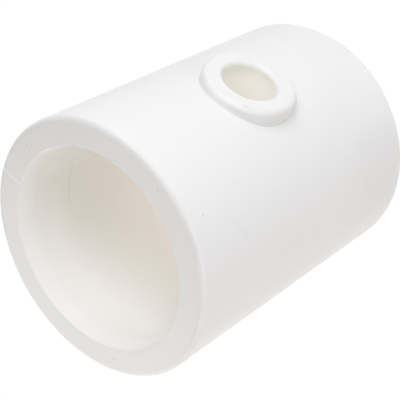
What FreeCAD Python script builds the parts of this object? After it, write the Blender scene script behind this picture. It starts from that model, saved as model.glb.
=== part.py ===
# Reducing tee of white rigid plastic, moulded in one piece.
# Millimetres. The run lies along Z and the tee stands on its lower end.
# The branch points towards -Y. The origin is where the two axes cross.

import FreeCAD
import Part
import Sketcher
import math
import os

# Driving dimensions

SIZES = {
    # run: a 75 mm pipe enters the plain bore from either end
    "run_pipe_diameter": 75.0,
    "run_bore_play": 0.2,
    "run_mouth_play": 1.9,
    "run_wall": 11.4,
    "run_half_length": 63.0,
    "lead_in_depth": 7.3,
    "mouth_chamfer": 0.4,
    "end_round": 2.1,
    # branch: a 20 mm pipe enters a low round boss on the middle of the run
    "branch_pipe_diameter": 20.0,
    "branch_bore_play": 0.9,
    "boss_wall": 7.3,
    "boss_rise": 3.7,
    "boss_round": 2.2,
    "branch_mouth_round": 1.5,
}

# Sizes that follow from the driving ones, as formulas of the sheet

DERIVED = {
    "bore_radius": "=(run_pipe_diameter + run_bore_play) / 2",
    "mouth_radius": "=(run_pipe_diameter + run_mouth_play) / 2",
    "outer_radius": "=bore_radius + run_wall",
    "lead_in_height": "=run_half_length - lead_in_depth",
    "branch_radius": "=(branch_pipe_diameter + branch_bore_play) / 2",
    "boss_radius": "=branch_radius + boss_wall",
    "boss_reach": "=outer_radius + boss_rise",
}

# How close a point lies to a surface that it is said to be on
NEAR = 0.01

doc = FreeCAD.newDocument("reducing_tee")
sheet = doc.addObject("Spreadsheet::Sheet", "sizes")


def fill_sheet():
    """Write every size in column B, beside its name, and give the cell that name."""
    row = 1
    for alias, value in list(SIZES.items()) + list(DERIVED.items()):
        sheet.set(f"A{row}", alias)
        sheet.set(f"B{row}", str(value))
        sheet.setAlias(f"B{row}", alias)
        row += 1
    doc.recompute()


def size(alias):
    """The present value of a cell, in millimetres."""
    return float(sheet.get(alias))


def bind(feature, prop, alias):
    """Tie a property of a feature to a cell of the sheet."""
    feature.setExpression(prop, f"sizes.{alias}")


# Helpers for sketches

def sketch_on_run_plane(body, name):
    """A sketch on the plane through the run's axis that faces the branch: its up is +Z."""
    planes = [f for f in body.Origin.OriginFeatures if f.Role == "XZ_Plane"]
    sketch = body.newObject("Sketcher::SketchObject", name)
    sketch.AttachmentSupport = [(planes[0], "")]
    sketch.MapMode = "FlatFace"
    return sketch


def place_corner(sketch, line, label, radius, side, height):
    """Fix a line's first point by its distance from the run's axis and its height.

    A radius of None puts it on the axis; side is -1 below the branch and 1 above it.
    """
    if radius is None:
        sketch.addConstraint(Sketcher.Constraint("PointOnObject", line, 1, -2))
    else:
        index = sketch.addConstraint(
            Sketcher.Constraint("DistanceX", -1, 1, line, 1, size(radius))
        )
        sketch.renameConstraint(index, f"{label}_radius")
        bind(sketch, f"Constraints.{label}_radius", radius)
    ends = (-1, 1, line, 1) if side > 0 else (line, 1, -1, 1)
    index = sketch.addConstraint(Sketcher.Constraint("DistanceY", *ends, size(height)))
    sketch.renameConstraint(index, f"{label}_height")
    bind(sketch, f"Constraints.{label}_height", height)


def closed_outline(sketch, half):
    """Draw an outline that is the same below and above the branch, bound to the sheet.

    half lists the corners of the lower part, from the axis outwards and up.
    """
    lower = [("foot_" + word, radius, -1, height) for word, radius, height in half]
    upper = [("head_" + word, radius, 1, height) for word, radius, height in reversed(half)]
    corners = lower + upper
    points = [
        FreeCAD.Vector(size(radius) if radius else 0.0, side * size(height), 0)
        for _, radius, side, height in corners
    ]
    count = len(points)
    for i in range(count):
        sketch.addGeometry(Part.LineSegment(points[i], points[(i + 1) % count]), False)
    for i in range(count):
        sketch.addConstraint(Sketcher.Constraint("Coincident", i, 2, (i + 1) % count, 1))
    for i, corner in enumerate(corners):
        place_corner(sketch, i, *corner)


def centred_circle(sketch, label, alias):
    """A circle about the branch's axis."""
    circle = Part.Circle(FreeCAD.Vector(0, 0, 0), FreeCAD.Vector(0, 0, 1), size(alias))
    sketch.addGeometry(circle, False)
    sketch.addConstraint(Sketcher.Constraint("Coincident", 0, 3, -1, 1))
    index = sketch.addConstraint(Sketcher.Constraint("Radius", 0, size(alias)))
    sketch.renameConstraint(index, label)
    bind(sketch, f"Constraints.{label}", alias)


# Helpers for edges, which are found by where they lie

def off_run_axis(point):
    return math.hypot(point.x, point.y)


def off_branch_axis(point):
    return math.hypot(point.x, point.z)


def edges_where(feature, test):
    """Names of the feature's edges whose every sampled point passes the test."""
    names = []
    for i, edge in enumerate(feature.Shape.Edges):
        if all(test(p) for p in edge.discretize(9)):
            names.append(f"Edge{i + 1}")
    return names


def rounded(body, name, base, test, alias):
    """Round the edges that pass the test."""
    fillet = body.newObject("PartDesign::Fillet", name)
    fillet.Base = (base, edges_where(base, test))
    fillet.Radius = size(alias)
    bind(fillet, "Radius", alias)
    doc.recompute()
    return fillet


def chamfered(body, name, base, test, alias):
    """Break the edges that pass the test by an equal amount on both faces."""
    chamfer = body.newObject("PartDesign::Chamfer", name)
    chamfer.Base = (base, edges_where(base, test))
    chamfer.Size = size(alias)
    bind(chamfer, "Size", alias)
    doc.recompute()
    return chamfer


# The tee

def make_tee_body():
    """Barrel, boss, run bore with a lead-in at each end, branch bore, rounded edges."""
    body = doc.addObject("PartDesign::Body", "tee_body")
    body.Label = "tee_body"

    # barrel: a rectangle turned about the run's axis
    barrel_section = sketch_on_run_plane(body, "barrel_section")
    closed_outline(barrel_section, [
        ("middle", None, "run_half_length"),
        ("edge", "outer_radius", "run_half_length"),
    ])
    barrel = body.newObject("PartDesign::Revolution", "barrel")
    barrel.Profile = barrel_section
    barrel.ReferenceAxis = (barrel_section, ["V_Axis"])
    barrel.Angle = 360
    doc.recompute()

    # boss: a round pad from the run's axis out to its flat face
    boss_outline = sketch_on_run_plane(body, "boss_outline")
    centred_circle(boss_outline, "boss_radius", "boss_radius")
    boss = body.newObject("PartDesign::Pad", "boss")
    boss.Profile = boss_outline
    boss.Length = size("boss_reach")
    bind(boss, "Length", "boss_reach")
    doc.recompute()

    boss_radius = size("boss_radius")
    boss_reach = size("boss_reach")
    outer_radius = size("outer_radius")
    half_length = size("run_half_length")

    # the rounded rim of the boss
    rim = rounded(
        body, "boss_rim", boss,
        lambda p: abs(p.y + boss_reach) < NEAR
        and abs(off_branch_axis(p) - boss_radius) < NEAR,
        "boss_round",
    )

    # the rounded outer edge of each end
    ends = rounded(
        body, "end_edges", rim,
        lambda p: abs(abs(p.z) - half_length) < NEAR
        and abs(off_run_axis(p) - outer_radius) < NEAR,
        "end_round",
    )

    # run bore: straight through, with a tapered lead-in at each end
    bore_section = sketch_on_run_plane(body, "bore_section")
    closed_outline(bore_section, [
        ("middle", None, "run_half_length"),
        ("mouth", "mouth_radius", "run_half_length"),
        ("lead_in", "bore_radius", "lead_in_height"),
    ])
    run_bore = body.newObject("PartDesign::Groove", "run_bore")
    run_bore.Profile = bore_section
    run_bore.ReferenceAxis = (bore_section, ["V_Axis"])
    run_bore.Angle = 360
    doc.recompute()

    # the broken edge of each mouth
    mouth_radius = size("mouth_radius")
    chamfered(
        body, "run_mouths", run_bore,
        lambda p: abs(abs(p.z) - half_length) < NEAR
        and abs(off_run_axis(p) - mouth_radius) < NEAR,
        "mouth_chamfer",
    )

    # branch bore: from the run's axis out through the boss
    branch_outline = sketch_on_run_plane(body, "branch_outline")
    centred_circle(branch_outline, "branch_radius", "branch_radius")
    branch_bore = body.newObject("PartDesign::Pocket", "branch_bore")
    branch_bore.Profile = branch_outline
    branch_bore.Type = "ThroughAll"
    branch_bore.Reversed = True
    doc.recompute()

    # the rounded mouth of the branch
    branch_radius = size("branch_radius")
    body.Tip = rounded(
        body, "branch_mouth", branch_bore,
        lambda p: abs(p.y + boss_reach) < NEAR
        and abs(off_branch_axis(p) - branch_radius) < NEAR,
        "branch_mouth_round",
    )
    doc.recompute()
    return body


# Checks before writing

def check_document(bodies):
    """Stop if a feature failed, if a cut removed nothing or if a solid isn't sound."""
    for item in doc.Objects:
        bad = [s for s in item.State if s in ("Invalid", "Error")]
        if bad:
            raise RuntimeError(f"{item.Name} is {bad}")
    for cut, before in (("run_bore", "end_edges"), ("branch_bore", "run_mouths")):
        if doc.getObject(cut).Shape.Volume > doc.getObject(before).Shape.Volume - NEAR:
            raise RuntimeError(f"{cut} removes nothing")
    for body in bodies:
        shape = body.Shape
        if shape.isNull() or not shape.isValid() or len(shape.Solids) != 1:
            raise RuntimeError(f"{body.Label} isn't one sound solid")


fill_sheet()
tee_body = make_tee_body()
check_document([tee_body])
os.makedirs("parts", exist_ok=True)
tee_body.Shape.exportStep("parts/tee_body.step")
print("volume in cubic millimetres:", round(tee_body.Shape.Volume, 1))
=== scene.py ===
import math

import bmesh
import bpy
from mathutils import Matrix, Vector


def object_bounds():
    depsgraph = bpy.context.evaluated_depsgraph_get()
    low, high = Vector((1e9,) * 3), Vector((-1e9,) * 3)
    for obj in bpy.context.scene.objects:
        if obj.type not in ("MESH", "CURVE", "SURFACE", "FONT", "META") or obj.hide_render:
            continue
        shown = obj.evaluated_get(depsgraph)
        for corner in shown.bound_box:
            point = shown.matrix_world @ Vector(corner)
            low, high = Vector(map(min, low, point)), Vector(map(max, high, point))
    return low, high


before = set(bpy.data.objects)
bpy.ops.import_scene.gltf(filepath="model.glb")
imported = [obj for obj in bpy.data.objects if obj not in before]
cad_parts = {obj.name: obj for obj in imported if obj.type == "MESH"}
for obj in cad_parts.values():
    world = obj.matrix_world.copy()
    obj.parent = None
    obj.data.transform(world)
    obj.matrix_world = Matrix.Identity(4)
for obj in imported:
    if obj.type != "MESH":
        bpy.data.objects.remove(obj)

CAD_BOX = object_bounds()
STAND = CAD_BOX[0][2]
MM = 0.001


# Camera: the tee stands on end, so the photograph's view of it is rolled over

CAMERA_AIM = Vector((-0.69, 4.27, 3.57)) * MM
CAMERA_DISTANCE = 423.0 * MM
CAMERA_AZIMUTH = math.radians(-28.85)
CAMERA_ELEVATION = math.radians(43.45)
CAMERA_ROLL = math.radians(-119.57)
CAMERA_LENS_MM = 98.585
SENSOR_MM = 36.0
CLIP_START = 0.01


def place_camera():
    """Set the camera on the photograph's view, from its aim, distance and three angles."""
    back = Vector((
        math.sin(CAMERA_AZIMUTH) * math.cos(CAMERA_ELEVATION),
        -math.cos(CAMERA_AZIMUTH) * math.cos(CAMERA_ELEVATION),
        math.sin(CAMERA_ELEVATION),
    ))
    level_right = Vector((0, 0, 1)).cross(back).normalized()
    level_up = back.cross(level_right)
    right = level_right * math.cos(CAMERA_ROLL) + level_up * math.sin(CAMERA_ROLL)
    up = back.cross(right)
    data = bpy.data.cameras.new("camera")
    data.sensor_width = SENSOR_MM
    data.lens = CAMERA_LENS_MM
    data.clip_start = CLIP_START
    camera = bpy.data.objects.new("camera", data)
    turn = Matrix((right, up, back)).transposed().to_4x4()
    camera.matrix_world = Matrix.Translation(CAMERA_AIM + back * CAMERA_DISTANCE) @ turn
    bpy.context.scene.collection.objects.link(camera)
    bpy.context.scene.camera = camera


# Light: large round softboxes about the tee, small lamps near its back, and an even world.
# Sizes and distances are in metres.

SOFTBOX_SIZE = 0.55
SOFTBOX_DISTANCE = 1.2

# name, azimuth and elevation in degrees seen from the tee, watts, colour
SOFTBOXES = (
    ("low_end_side", 0, 12, 0.97, (1.00, 0.95, 0.95)),
    ("low_left", -135, 12, 2.30, (1.00, 0.98, 0.97)),
    ("low_right", -67.5, 12, 1.86, (1.00, 1.00, 0.96)),
    ("low_far_right", -45, 12, 0.96, (1.00, 0.85, 0.62)),
    ("back_right", 64, 30, 2.42, (0.95, 0.97, 1.00)),
    ("key_branch_side", -90, 30, 3.93, (0.88, 0.91, 1.00)),
    ("key_right", -64, 30, 2.14, (0.80, 0.87, 1.00)),
    ("high_back", 144, 50, 2.01, (1.00, 0.92, 0.79)),
    ("high_branch_side", -108, 50, 1.72, (1.00, 0.96, 0.87)),
)
WORLD_COLOUR = (1.00, 0.94, 0.80)
WORLD_STRENGTH = 0.086

# lamps near the side away from the branch: name, azimuth in degrees, watts, colour
NEAR_LAMP_SIZE = 0.20
NEAR_LAMP_RADIUS = 0.32
NEAR_LAMP_HEIGHT = 0.12
NEAR_LAMP_AIM = Vector((0, 0, 0.03))
NEAR_LAMPS = (
    ("near_90", 90, 0.183, (1.00, 0.99, 0.99)),
    ("near_120", 120, 0.164, (1.00, 0.99, 1.00)),
    ("near_150", 150, 0.123, (1.00, 0.95, 0.96)),
    ("near_180", 180, 0.076, (0.89, 0.91, 1.00)),
)

# light that comes in by the far mouth, as it does where the tee lies in the open
MOUTH_LIGHT_SIZE = 74.8 * MM
MOUTH_LIGHT_PLACE = Vector((0, 0, STAND + 0.1 * MM))
MOUTH_LIGHT_WATTS = 0.0145
MOUTH_LIGHT_COLOUR = (1.00, 0.94, 0.86)


def way_to(azimuth, elevation=0.0):
    """The direction from the tee to an azimuth and elevation in degrees."""
    a = math.radians(azimuth)
    e = math.radians(elevation)
    return Vector((math.cos(e) * math.cos(a), math.cos(e) * math.sin(a), math.sin(e)))


def area_light(name, place, towards, size, watts, colour):
    """A round lamp that shines from one place towards another."""
    data = bpy.data.lights.new(name, "AREA")
    data.shape = "DISK"
    data.size = size
    data.energy = watts
    data.color = colour
    lamp = bpy.data.objects.new(name, data)
    lamp.location = place
    lamp.rotation_euler = (place - towards).to_track_quat("Z", "Y").to_euler()
    bpy.context.scene.collection.objects.link(lamp)


def light_the_tee():
    """Set up the softboxes, the near lamps and the light of the far mouth."""
    centre = Vector((0, 0, 0))
    for name, azimuth, elevation, watts, colour in SOFTBOXES:
        place = way_to(azimuth, elevation) * SOFTBOX_DISTANCE
        area_light(name, place, centre, SOFTBOX_SIZE, watts, colour)
    for name, azimuth, watts, colour in NEAR_LAMPS:
        place = way_to(azimuth) * NEAR_LAMP_RADIUS
        place.z = NEAR_LAMP_HEIGHT
        area_light(name, place, NEAR_LAMP_AIM, NEAR_LAMP_SIZE, watts, colour)
    area_light(
        "far_mouth", MOUTH_LIGHT_PLACE, centre,
        MOUTH_LIGHT_SIZE, MOUTH_LIGHT_WATTS, MOUTH_LIGHT_COLOUR,
    )


# Materials: shader maths is written as Python, on sockets wrapped in Value

class Value:
    """One output of a node, so that an expression on it adds the nodes it needs."""

    def __init__(self, finish, socket):
        self.finish = finish
        self.socket = socket

    def math(self, operation, *inputs, clamp=False):
        values = {i: value for i, value in enumerate(inputs)}
        settings = {"operation": operation, "use_clamp": clamp}
        return self.finish.node("ShaderNodeMath", settings, values)[0]

    def __add__(self, other):
        return self.math("ADD", self, other)

    def __sub__(self, other):
        return self.math("SUBTRACT", self, other)

    def __rsub__(self, other):
        return self.math("SUBTRACT", other, self)

    def __mul__(self, other):
        return self.math("MULTIPLY", self, other)

    def __truediv__(self, other):
        return self.math("DIVIDE", self, other)

    def __rtruediv__(self, other):
        return self.math("DIVIDE", other, self)

    __radd__ = __add__
    __rmul__ = __mul__

    def root(self):
        return self.math("SQRT", self)

    def size(self):
        return self.math("ABSOLUTE", self)

    def at_least(self, other):
        return self.math("MAXIMUM", self, other)

    def rise(self, low, high):
        """0 below low, 1 above high, smooth between; falls where low is above high."""
        return self.finish.node(
            "ShaderNodeMapRange",
            {"interpolation_type": "SMOOTHSTEP"},
            {"Value": self, "From Min": low, "From Max": high, "To Min": 0.0, "To Max": 1.0},
        )[0]

    def across(self, radius, edge):
        """0 to 1 between two offsets from a radius, or falling as rise does."""
        return self.rise(radius + edge[0], radius + edge[1])

    def between(self, sets_in, ends):
        """1 between two ranges of values, rising over the first and falling over the second."""
        return self.rise(*sets_in) * self.rise(ends[1], ends[0])


# where Texture Coordinate has its Object output, and Mix the colours that it mixes
OBJECT_COORDINATES = 3
MIX_COLOURS = (6, 7)

# how a mark fades at its edge, in shares of a spot's radius and of a stroke's width
SPOT_EDGE = (1.4, 0.5)
STROKE_EDGE = (0.9, 0.2)


class Finish:
    """A procedural material about the Principled shader."""

    def __init__(self, name):
        self.material = bpy.data.materials.new(name)
        self.material.use_nodes = True
        self.tree = self.material.node_tree
        self.shader = self.tree.nodes["Principled BSDF"]

    def fill(self, socket, value):
        if isinstance(value, Value):
            self.tree.links.new(value.socket, socket)
        elif isinstance(value, (tuple, list)) and socket.type == "RGBA":
            socket.default_value = (*value, 1.0)
        else:
            socket.default_value = value

    def node(self, kind, settings=None, inputs=None):
        """Add a node: its settings first, then the values or links of its sockets."""
        node = self.tree.nodes.new(kind)
        for key, value in (settings or {}).items():
            setattr(node, key, value)
        for key, value in (inputs or {}).items():
            self.fill(node.inputs[key], value)
        return [Value(self, socket) for socket in node.outputs if socket.enabled]

    def vector_math(self, operation, inputs):
        """A Vector Math node."""
        return self.node("ShaderNodeVectorMath", {"operation": operation}, inputs)[0]

    def gap(self, a, b):
        """The distance between two places."""
        return self.vector_math("DISTANCE", {0: a, 1: b})

    def noise(self, place, pitch, detail, roughness):
        """Soft noise from 0 to 1 whose lumps are about pitch millimetres apart."""
        return self.node(
            "ShaderNodeTexNoise",
            {"noise_dimensions": "3D"},
            {"Vector": place, "Scale": 1.0 / pitch, "Detail": detail, "Roughness": roughness},
        )[0]

    def blend(self, share, first, second):
        """A colour between two colours."""
        inputs = {0: share, MIX_COLOURS[0]: first, MIX_COLOURS[1]: second}
        return self.node("ShaderNodeMix", {"data_type": "RGBA"}, inputs)[0]

    def spot(self, place, centre, radius):
        """1 in a small round mark, soft at its edge."""
        outer, inner = SPOT_EDGE
        return self.gap(place, centre).rise(radius * outer, radius * inner)

    def stroke(self, place, start, end, width):
        """1 along a straight mark from start to end, soft at its edges."""
        start = Vector(start)
        run = Vector(end) - start
        along = self.vector_math("DOT_PRODUCT", {0: place, 1: run / run.length_squared})
        along = along.math("SUBTRACT", along, start.dot(run) / run.length_squared, clamp=True)
        step = self.vector_math("SCALE", {0: run, "Scale": along})
        near = self.vector_math("ADD", {0: start, 1: step})
        outer, inner = STROKE_EDGE
        return self.gap(place, near).rise(width * outer, width * inner)

    def ground_ray(self):
        """1 for a ray that shows the ground: seen straight, mirrored or through glass."""
        rays = self.node("ShaderNodeLightPath")
        names = [ray.socket.name for ray in rays]
        seen = rays[names.index("Is Camera Ray")]
        for kind in ("Is Glossy Ray", "Is Transmission Ray"):
            seen = seen.at_least(rays[names.index(kind)])
        return seen


class Surroundings(Finish):
    """The nodes of the world, made with the same helpers."""

    def __init__(self, name):
        self.world = bpy.data.worlds.new(name)
        self.world.use_nodes = True
        self.tree = self.world.node_tree


# Where the tee's surfaces lie, in millimetres

BORE_RADIUS = 37.6
MOUTH_RADIUS = 38.45
OUTER_RADIUS = 49.0
END_HEIGHT = 63.0
END_ROUND = 2.1
BRANCH_RADIUS = 10.45
# the y past which a point near the branch's axis is on the branch's side of the run
BRANCH_SIDE = (-30.0, -32.0)

# how a look sets in at the edge of its surface: offsets in millimetres from the edge's radius
BORE_EDGE = (0.5, 0.1)
BORE_BOUNCE_CREAM_EDGE = (0.12, 0.02)
BRANCH_EDGE = (0.35, 0.05)
END_EDGE = (0.1, 0.5)
ROUND_EDGE = (0.0, 0.5)
BARREL_EDGE = (-0.5, -0.1)

# Colours

MOULDED_WHITE = (0.903, 0.901, 0.898)
# the bores' colours are painted bounce light, brighter and warmer than the white
BORE_BOUNCE_CREAM = (0.970, 0.953, 0.928)
BRANCH_BOUNCE_CREAM = (0.989, 0.976, 0.927)
BRIGHTEST = (0.99, 0.99, 0.99)

# the depths over which painted bounce light turns the bore creamy, and those on the side where
# it does so sooner
BOUNCE_CREAM_DEPTHS = (3.0, 22.0)
BOUNCE_CREAM_SIDE = (12.0, 0.90, 0.98)
BOUNCE_CREAM_SIDE_DEPTHS = (4.0, 12.0)

# Broad soft changes of tone, painted light and shade each on one side of the tee. A side is the
# azimuth that it faces, in degrees, and the cosines of the angle from it between which it sets
# in.

# painted light on each lead-in, all round and more on its lit side; it fades at the mouth and
# into the bore
LEAD_IN_PAINTED_LIGHT = 0.015
LEAD_IN_SIDE = (150.0, 0.75, 0.98)
LEAD_IN_SIDE_PAINTED_LIGHT = 0.06
LEAD_IN_FADE = (9.0, 6.0)
LEAD_IN_MOUTH_FADE = (-0.5, 2.5)

# painted light and shade in the bore: side, change, the depths over which it sets in, the
# depths over which it ends
BORE_LIGHT_AND_SHADE = (
    ((12.0, 0.90, 0.98), -0.045, (3.5, 8.5), (12.0, 20.0)),
    ((-15.0, 0.93, 0.99), 0.075, (8.0, 16.0), (32.0, 46.0)),
    ((142.0, 0.88, 0.99), 0.020, (4.0, 8.0), (20.0, 34.0)),
)

# painted light and shade on the flat of each end: side, change
END_LIGHT_AND_SHADE = (
    ((155.0, 0.72, 0.98), 0.034),
    ((-38.0, 0.75, 0.98), -0.018),
)

# painted shade on the rounded edge of each end, dimming its highlight: side, change, and the
# same two ranges as shares of the rounding, where 0 is at the barrel and 1 at the flat of the
# end
ROUND_PAINTED_SHADE = (
    ((-95.0, 0.50, 0.85), -0.070, (0.0, 0.55), (0.72, 0.95)),
    ((158.0, 0.85, 0.99), -0.070, (0.0, 0.30), (0.85, 0.99)),
    ((-118.0, 0.86, 0.97), -0.042, (0.1, 0.55), (0.83, 0.99)),
)

# painted shade on the barrel, darker low down on one side
FOOT_SHADE_SIDE = (-154.0, 0.88, 0.99)
FOOT_SHADE_HEIGHTS = (-12.0, -45.0)
FOOT_PAINTED_SHADE = -0.042

# the thin line round the bore that the mould's core left, as painted shade of a fine groove,
# seen over a short
# arc: its depth at the arc's lower side, how it leans, how it fades across its width
WITNESS_DEPTH = 25.85
WITNESS_LEAN = 0.04
WITNESS_WIDTH = (0.55, 0.12)
WITNESS_SIDE = (12.5, 0.944, 0.982)
WITNESS_PAINTED_SHADE = -0.10

# Unevenness of the plastic: pitch in millimetres, detail and roughness of each noise, then how
# far it changes the tone and the gloss, and how far it lifts the surface, in millimetres
CLOUD = (22.0, 2.0, 0.45)
CLOUD_TONE = 0.014
CLOUD_GLOSS = 0.06
GRAIN = (0.9, 3.0, 0.6)
GRAIN_TONE = 0.012
GRAIN_GLOSS = 0.05
GRAIN_HEIGHT = 0.0012
WAVE = (5.0, 2.0, 0.5)
WAVE_HEIGHT = 0.010

# satin gloss
PLASTIC_ROUGHNESS = 0.40
PLASTIC_IOR = 1.5


def on_end(radius, degrees, depth=0.0):
    """A place near the upper end, by its distance from the run's axis and its azimuth."""
    a = math.radians(degrees)
    return (radius * math.cos(a), radius * math.sin(a), END_HEIGHT - depth)


def on_barrel(degrees, height):
    """A place on the barrel, by its azimuth and its height above the branch's axis."""
    a = math.radians(degrees)
    return (OUTER_RADIUS * math.cos(a), OUTER_RADIUS * math.sin(a), height)


# the flash across the upper end, which stands up from it: start, end, width in millimetres
FLASH = (on_end(47.7, -0.8), on_end(38.7, -0.8), 0.80)
# the flash is lighter by a painted highlight on its ridge
FLASH_PAINTED_HIGHLIGHT = 0.11
FLASH_HEIGHT = 0.06

# fine marks of mould and use, and painted highlights and shade: start, end, width in
# millimetres, change of tone
MARKS = (
    # painted highlight where the flash is brightest at the mouth, and painted shade on its edge
    # round the corner
    (on_end(40.2, -0.5), on_end(38.6, -0.8), 0.75, 0.09),
    (on_end(38.3, -0.2, 0.1), on_end(38.2, 4.6, 0.9), 0.50, -0.07),
    # painted highlight on the edge of the mouth
    (on_end(38.8, -35.0), on_end(38.5, -37.6), 0.60, 0.13),
    (on_end(38.5, -37.6), on_end(38.7, -40.0), 0.50, 0.06),
    # painted shade and highlight of small dents of the upper end
    (on_end(45.5, -110.0), on_end(44.9, -110.7), 0.50, -0.09),
    (on_end(44.9, -110.7), on_end(44.2, -111.5), 0.45, -0.04),
    (on_end(42.4, 120.9), on_end(42.8, 122.7), 0.50, -0.14),
    (on_end(41.9, 121.2), on_end(42.3, 122.9), 0.40, 0.06),
    # scuffs of the barrel
    (on_barrel(-135.7, 42.5), on_barrel(-141.4, 39.2), 0.50, -0.025),
    (on_barrel(-141.4, 39.2), on_barrel(-144.2, 37.7), 0.50, -0.05),
    (on_barrel(-168.6, -23.6), on_barrel(-176.3, -24.0), 0.50, -0.05),
    (on_barrel(-151.2, -31.8), on_barrel(-155.1, -31.8), 0.50, 0.04),
    (on_barrel(-167.5, 25.2), on_barrel(179.8, 23.1), 0.60, -0.03),
    (on_barrel(-154.0, 3.3), on_barrel(-158.8, -14.6), 0.80, 0.02),
    # painted shade in a nick in the boss's rim
    ((-8.5, -52.5, 14.2), (-9.8, -52.5, 13.1), 0.55, -0.13),
)

# specks, some of them painted shade and highlight: centre, radius in millimetres, change of
# tone
SPECKS = (
    (on_end(43.9, -24.1), 0.28, -0.34),
    # the next two are painted shade beside the flash
    (on_end(45.4, 0.6), 0.32, -0.07),
    (on_end(39.4, -2.5), 0.30, -0.07),
    (on_barrel(-127.5, 54.8), 0.35, -0.20),
    # painted highlight beside the core's line
    (on_end(BORE_RADIUS, 13.3, 26.4), 0.35, 0.06),
)


class TeePlastic(Finish):
    """The tee's own material, with the measures that its tones and marks go by."""

    def __init__(self, name):
        super().__init__(name)
        place = self.node("ShaderNodeTexCoord")[OBJECT_COORDINATES]
        self.place = self.vector_math("SCALE", {0: place, "Scale": 1.0 / MM})
        self.x, self.y, self.z = self.node("ShaderNodeSeparateXYZ", None, {0: self.place})
        self.off_run = (self.x * self.x + self.y * self.y).root()
        self.depth = END_HEIGHT - self.z.size()

    def side(self, azimuth, low, high):
        """1 on the side of the tee that faces an azimuth."""
        a = math.radians(azimuth)
        cosine = (self.x * math.cos(a) + self.y * math.sin(a)) / self.off_run
        return cosine.rise(low, high)

    def painted_bore_light(self):
        """Painted light and shade in the run's bore: lead-ins, broad changes and the shade of
        the core's line.
        """
        inside = self.off_run.across(MOUTH_RADIUS, BORE_EDGE)
        lead_in_light = LEAD_IN_PAINTED_LIGHT + self.side(*LEAD_IN_SIDE) * LEAD_IN_SIDE_PAINTED_LIGHT
        tone = lead_in_light * self.depth.rise(*LEAD_IN_FADE) * self.depth.rise(*LEAD_IN_MOUTH_FADE)
        for side, change, sets_in, ends in BORE_LIGHT_AND_SHADE:
            tone = tone + self.side(*side) * self.depth.between(sets_in, ends) * change
        depth = END_HEIGHT - self.z + self.y * WITNESS_LEAN - WITNESS_DEPTH
        line = depth.size().rise(*WITNESS_WIDTH) * self.side(*WITNESS_SIDE)
        return (tone + line * WITNESS_PAINTED_SHADE) * inside

    def painted_end_light(self):
        """Painted light and shade on the flat of each end."""
        tone = sum(self.side(*side) * change for side, change in END_LIGHT_AND_SHADE)
        flat = self.off_run.across(MOUTH_RADIUS, END_EDGE) * self.depth.rise(END_ROUND, 0.0)
        return tone * flat

    def painted_round_shade(self):
        """Painted shade on the rounded edge of each end, dimming its highlight."""
        share = 1.0 - self.depth / END_ROUND
        tone = sum(
            self.side(*side) * share.between(sets_in, ends) * change
            for side, change, sets_in, ends in ROUND_PAINTED_SHADE
        )
        return tone * self.off_run.across(OUTER_RADIUS - END_ROUND, ROUND_EDGE)

    def painted_barrel_shade(self):
        """Painted shade on the barrel, low down on one side."""
        foot_shade = self.side(*FOOT_SHADE_SIDE) * self.z.rise(*FOOT_SHADE_HEIGHTS) * FOOT_PAINTED_SHADE
        return foot_shade * self.off_run.across(OUTER_RADIUS, BARREL_EDGE)

    def bore_bounce_mask(self):
        """1 where painted bounce light makes the run's bore creamy."""
        bounce_share = self.depth.rise(*BOUNCE_CREAM_DEPTHS)
        sooner = self.depth.rise(*BOUNCE_CREAM_SIDE_DEPTHS)
        bounce_share = bounce_share + self.side(*BOUNCE_CREAM_SIDE) * (sooner - bounce_share)
        return bounce_share * self.off_run.across(MOUTH_RADIUS, BORE_BOUNCE_CREAM_EDGE)

    def branch_bounce_mask(self):
        """1 in the branch's bore, where painted bounce light makes it creamy."""
        off_branch = (self.x * self.x + self.z * self.z).root()
        return off_branch.across(BRANCH_RADIUS, BRANCH_EDGE) * self.y.rise(*BRANCH_SIDE)


def white_plastic():
    """White moulded plastic, brighter and creamier in its bores by painted bounce light, with
    painted light and shade on its sides and the marks of its mould and of use.
    """
    finish = TeePlastic("white_plastic")
    cloud = finish.noise(finish.place, *CLOUD) - 0.5
    grain = finish.noise(finish.place, *GRAIN) - 0.5
    wave = finish.noise(finish.place, *WAVE) - 0.5

    # tone: even but for soft clouds, the painted light and shade of each side and the fine
    # marks, some of them painted
    tone = 1.0 + cloud * CLOUD_TONE + grain * GRAIN_TONE
    tone = tone + finish.painted_bore_light() + finish.painted_end_light()
    tone = tone + finish.painted_round_shade() + finish.painted_barrel_shade()
    flash = finish.stroke(finish.place, *FLASH)
    # painted highlight on the flash's ridge
    tone = tone + flash * FLASH_PAINTED_HIGHLIGHT
    for start, end, width, change in MARKS:
        tone = tone + finish.stroke(finish.place, start, end, width) * change
    for centre, radius, change in SPECKS:
        tone = tone + finish.spot(finish.place, centre, radius) * change

    # colour: white, brighter and creamier in the bores by painted bounce light
    colour = finish.blend(finish.bore_bounce_mask(), MOULDED_WHITE, BORE_BOUNCE_CREAM)
    colour = finish.blend(finish.branch_bounce_mask(), colour, BRANCH_BOUNCE_CREAM)
    grey = finish.node("ShaderNodeCombineXYZ", None, {0: tone, 1: tone, 2: tone})[0]
    colour = finish.vector_math("MULTIPLY", {0: colour, 1: grey})
    colour = finish.vector_math("MINIMUM", {0: colour, 1: BRIGHTEST})
    finish.fill(finish.shader.inputs["Base Color"], colour)

    # satin gloss, a little uneven
    roughness = PLASTIC_ROUGHNESS + cloud * CLOUD_GLOSS + grain * GRAIN_GLOSS
    finish.fill(finish.shader.inputs["Roughness"], roughness)
    finish.shader.inputs["IOR"].default_value = PLASTIC_IOR

    # the faint waviness of a moulded surface, and the flash that stands up from the end
    height = wave * WAVE_HEIGHT + grain * GRAIN_HEIGHT + flash * FLASH_HEIGHT
    bump = {"Height": height, "Distance": MM, "Strength": 1.0}
    finish.fill(finish.shader.inputs["Normal"], finish.node("ShaderNodeBump", None, bump)[0])
    return finish.material


# The floor and the world

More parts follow.
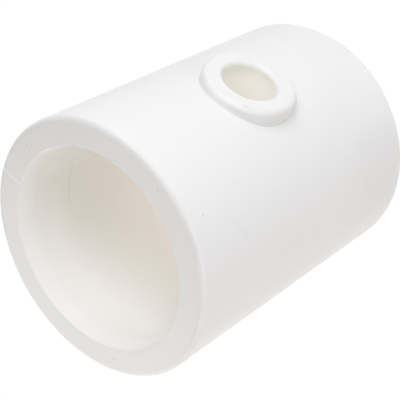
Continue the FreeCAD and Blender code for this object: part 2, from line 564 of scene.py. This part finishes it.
PURE_WHITE = (1.0, 1.0, 1.0)
PAPER_WHITE = (0.8, 0.8, 0.8)
PAPER_ROUGHNESS = 0.9

# half the side of the floor, in metres
FLOOR_REACH = 30.0
# near the tee the floor is seen as this share of lit paper, and the rest as a strong glow
PAPER_SHARE = 0.5
FLOOR_GLOW = 1.46
# from here to there, in metres from the tee, the floor turns to plain white
FLOOR_FADE = (0.4, 1.15)


def floor_paper():
    """Pale paper, seen as white as the photograph's ground, with the tee's shadow on it."""
    finish = Finish("floor_paper")
    finish.fill(finish.shader.inputs["Base Color"], PAPER_WHITE)
    finish.shader.inputs["Roughness"].default_value = PAPER_ROUGHNESS
    finish.shader.inputs["Specular IOR Level"].default_value = 0.0
    paper = Value(finish, finish.shader.outputs[0])
    place = finish.node("ShaderNodeTexCoord")[OBJECT_COORDINATES]
    far = finish.gap(place, (0.0, 0.0, STAND)).rise(*FLOOR_FADE)
    tint = finish.blend(far, PURE_WHITE, (1 / FLOOR_GLOW,) * 3)
    glow = finish.node("ShaderNodeEmission", None, {"Color": tint, "Strength": FLOOR_GLOW})[0]
    share = finish.ground_ray() * (far * PAPER_SHARE + (1.0 - PAPER_SHARE))
    ground = finish.node("ShaderNodeMixShader", None, {0: share, 1: paper, 2: glow})[0]
    output = finish.tree.nodes["Material Output"]
    finish.tree.links.new(ground.socket, output.inputs["Surface"])
    return finish.material


def surround_the_tee():
    """Even light from all round, seen as white."""
    sky = Surroundings("even_light")
    light, white = (
        sky.node("ShaderNodeBackground", None, {"Color": colour, "Strength": strength})[0]
        for colour, strength in ((WORLD_COLOUR, WORLD_STRENGTH), (PURE_WHITE, 1.0))
    )
    both = sky.node("ShaderNodeMixShader", None, {0: sky.ground_ray(), 1: light, 2: white})[0]
    output = sky.tree.nodes["World Output"]
    sky.tree.links.new(both.socket, output.inputs["Surface"])
    bpy.context.scene.world = sky.world
    bpy.context.scene.view_settings.view_transform = "Standard"


def lay_floor():
    """Lay the wide flat floor that the tee stands on."""
    sheet = bmesh.new()
    bmesh.ops.create_grid(sheet, x_segments=1, y_segments=1, size=FLOOR_REACH)
    bmesh.ops.translate(sheet, vec=(0, 0, STAND), verts=sheet.verts)
    mesh = bpy.data.meshes.new("floor")
    sheet.to_mesh(mesh)
    sheet.free()
    mesh.materials.append(floor_paper())
    floor = bpy.data.objects.new("floor", mesh)
    bpy.context.scene.collection.objects.link(floor)


place_camera()
light_the_tee()
surround_the_tee()
lay_floor()

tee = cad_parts["tee_body"]
tee_plastic = white_plastic()
for slot in tee.material_slots:
    slot.material = tee_plastic
